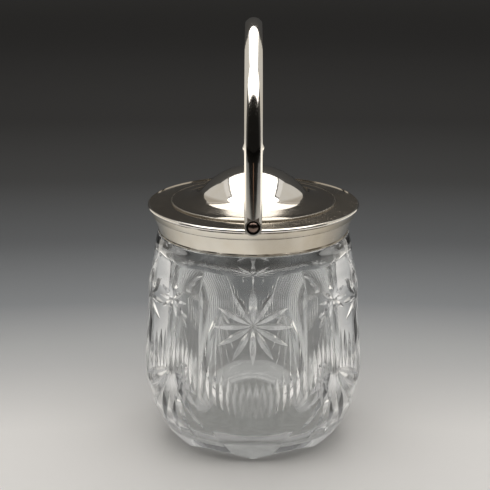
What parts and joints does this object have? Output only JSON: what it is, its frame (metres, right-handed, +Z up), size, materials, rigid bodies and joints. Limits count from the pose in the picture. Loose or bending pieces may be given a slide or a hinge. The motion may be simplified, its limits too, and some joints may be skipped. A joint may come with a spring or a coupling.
{
  "type": "biscuit jar",
  "caption": "Cut-glass biscuit jar with a silver-plated mount, a lift-off domed lid with a knob, and a swing bail handle riveted to two lugs.",
  "frame": {"origin": "middle of the flat base, on the table", "axes": "+Z up through the jar's axis; -Y is the front, where one end of the bail is riveted; the bail's pivot axis runs along Y"},
  "size_m": [0.1254, 0.1354, 0.2485],
  "materials": {
    "cut_glass": "clear, polished, mitre-cut",
    "plaster": "matt white bedding plaster",
    "silver_plate": "polished silver plate",
    "silver_plate_worn": "silver plate, duller on hidden faces and rivets"
  },
  "bodies": {
    "jar": {"glass_body": "cut_glass", "plaster_bed": "plaster", "mount_collar": "silver_plate", "rim_wire": "silver_plate", "lug_front": "silver_plate_worn", "lug_back": "silver_plate_worn", "rivet_front": "silver_plate_worn", "rivet_back": "silver_plate_worn"},
    "lid": {"lid_shell": "silver_plate", "lid_wire": "silver_plate", "lid_bezel": "silver_plate_worn", "finial_foot": "silver_plate", "finial_knob": "silver_plate", "finial_stud": "silver_plate_worn", "finial_nut": "silver_plate_worn"},
    "bail": {"bail_handle": "silver_plate"}
  },
  "joints": [
    {"name": "bail_swing", "type": "hinge", "parent": "jar", "child": "bail", "pos_m": [0, 0, 0.146], "axis": [0, 1, 0], "range_deg": [-135, 135]},
    {"name": "lid_lift", "type": "slide", "parent": "jar", "child": "lid", "axis": [0, 0, 1], "range_m": [0, 0.055]}
  ]
}
